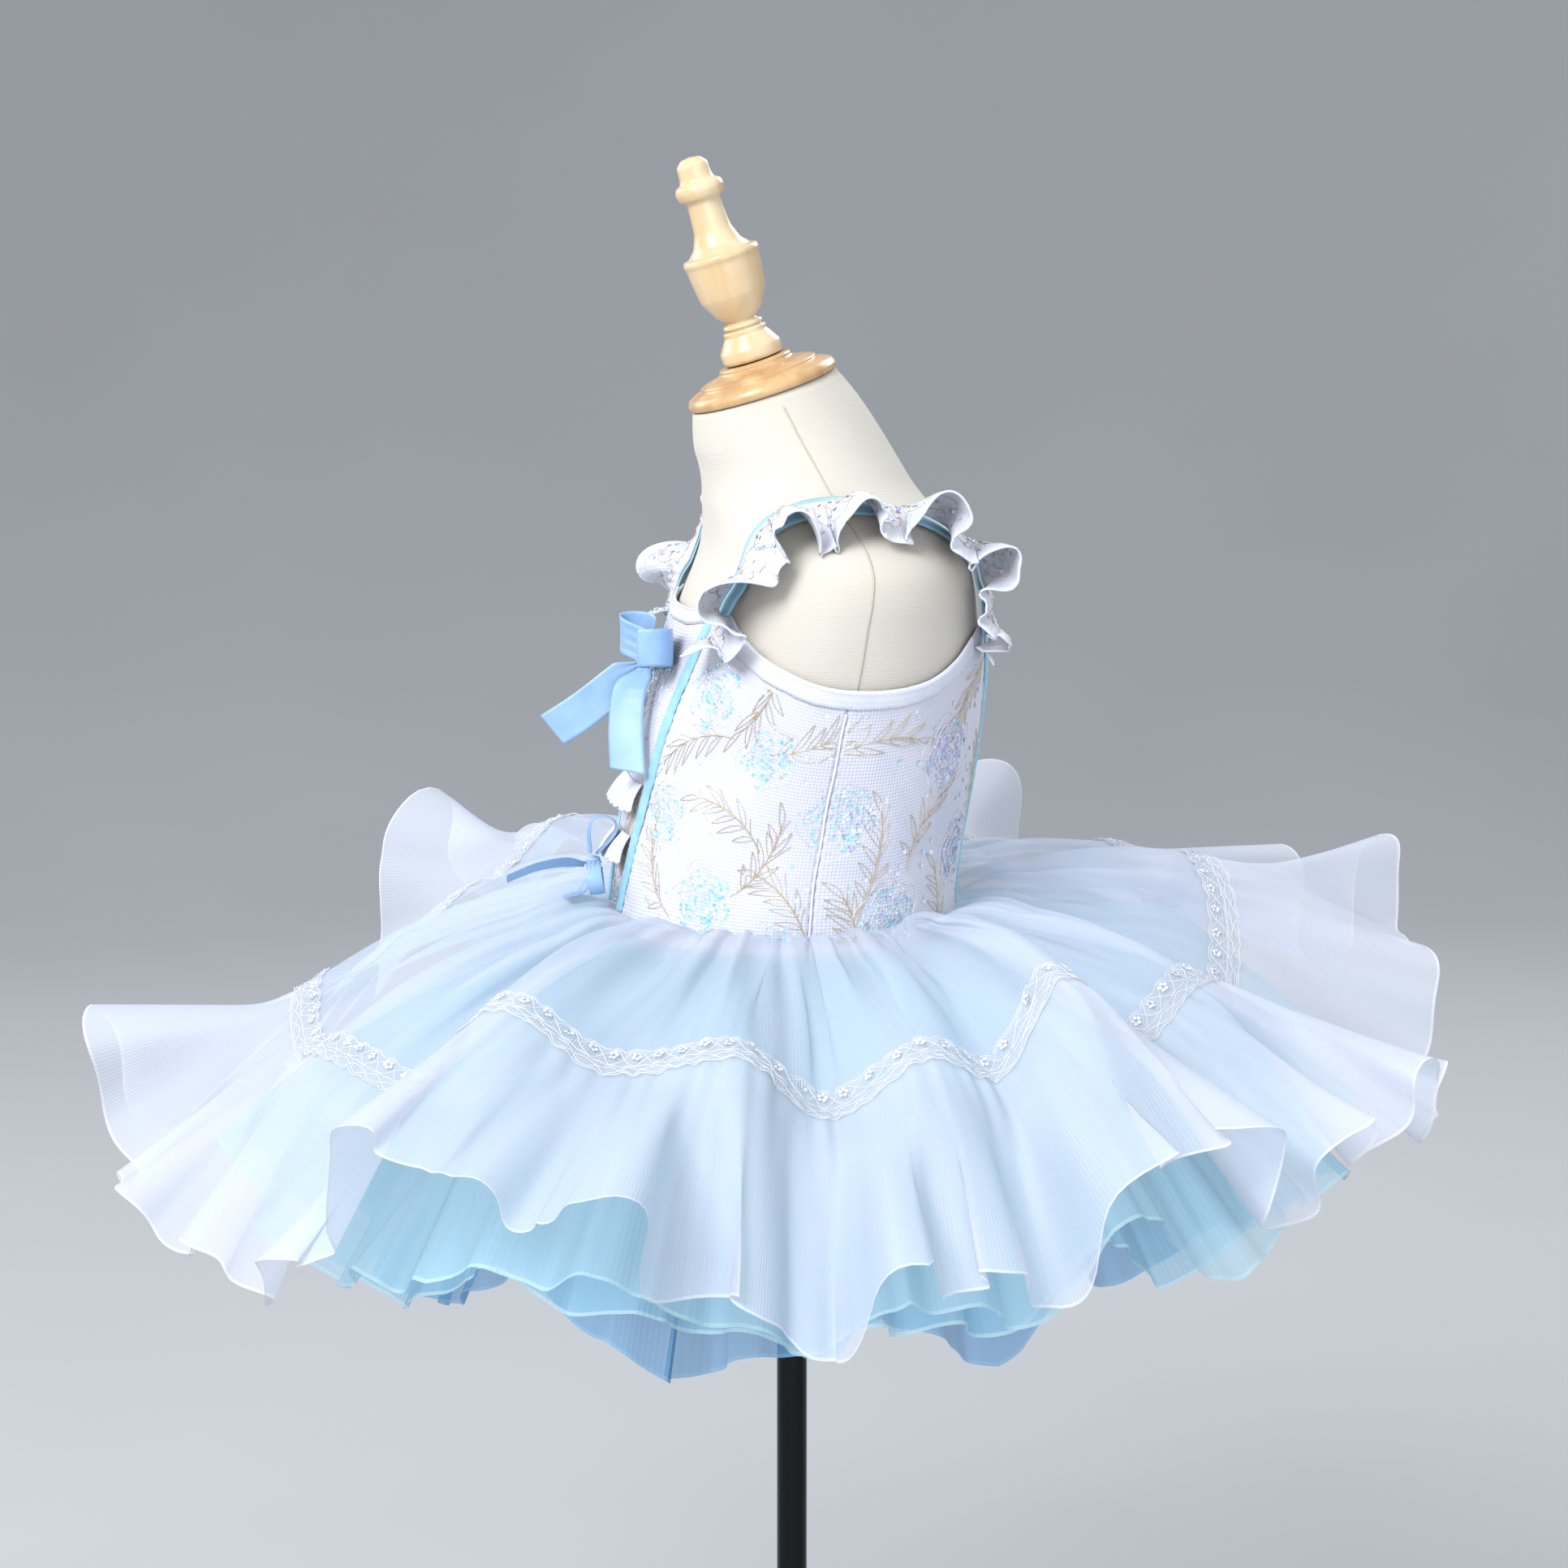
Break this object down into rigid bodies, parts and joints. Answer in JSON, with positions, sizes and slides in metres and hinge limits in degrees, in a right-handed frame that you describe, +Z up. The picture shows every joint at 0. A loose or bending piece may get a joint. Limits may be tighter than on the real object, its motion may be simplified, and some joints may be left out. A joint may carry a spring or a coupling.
{
  "type": "ballet dress on a child's dress form",
  "caption": "Child's ballet dress with a fitted bodice, frilled straps and a waved organza skirt over stiff nets, worn by a limbless dress form on a pole and a round foot.",
  "frame": {"origin": "centre of the foot's underside, on the pole's axis", "axes": "+Z up along the pole; the dress faces -Y; +X is its wearer's left"},
  "size_m": [0.7016, 0.7042, 1.0052],
  "materials": {
    "form_linen": "off-white linen, smooth",
    "turned_wood": "pale turned wood, satin varnish",
    "black_steel": "black, polished",
    "sequin_lace": "white net with sequins and gold thread",
    "white_elastic": "smooth white elastic",
    "blue_trim": "pale blue ribbon, matt",
    "blue_satin": "blue satin ribbon",
    "white_organza": "sheer white organza",
    "white_lace": "white lace edging",
    "aqua_net": "stiff aqua net",
    "blue_net": "stiff blue net"
  },
  "bodies": {
    "root": {"form_body": "form_linen", "neck_cap": "turned_wood", "neck_finial": "turned_wood", "stand_foot": "black_steel", "stand_pole": "black_steel", "stand_socket": "black_steel", "bodice_front_centre": "sequin_lace", "bodice_back_centre": "sequin_lace", "bodice_front_left": "sequin_lace", "bodice_back_left": "sequin_lace", "bodice_back_right": "sequin_lace", "bodice_front_right": "sequin_lace", "armhole_binding_left": "white_elastic", "armhole_binding_right": "white_elastic", "neck_binding_front": "white_elastic", "neck_binding_back": "white_elastic", "front_trim_left": "blue_trim", "back_trim_left": "blue_trim", "front_trim_right": "blue_trim", "back_trim_right": "blue_trim", "strap_left": "blue_trim", "strap_right": "blue_trim", "strap_frill_left": "sequin_lace", "strap_frill_right": "sequin_lace", "front_lace_upper": "white_lace", "front_lace_lower": "white_lace", "bow_top_knot": "blue_satin", "bow_top_loop_left": "blue_satin", "bow_top_loop_right": "blue_satin", "bow_top_tail_down": "blue_satin", "bow_top_tail_front": "blue_satin", "bow_waist_knot": "blue_satin", "bow_waist_loop_up": "blue_satin", "bow_waist_loop_side": "blue_satin", "bow_waist_tail_front": "blue_satin", "bow_waist_tail_down": "blue_satin", "overskirt": "white_organza", "flounce": "white_organza", "flounce_lace": "white_lace", "net_upper": "aqua_net", "net_middle": "aqua_net", "net_lower": "blue_net"}
  },
  "joints": []
}
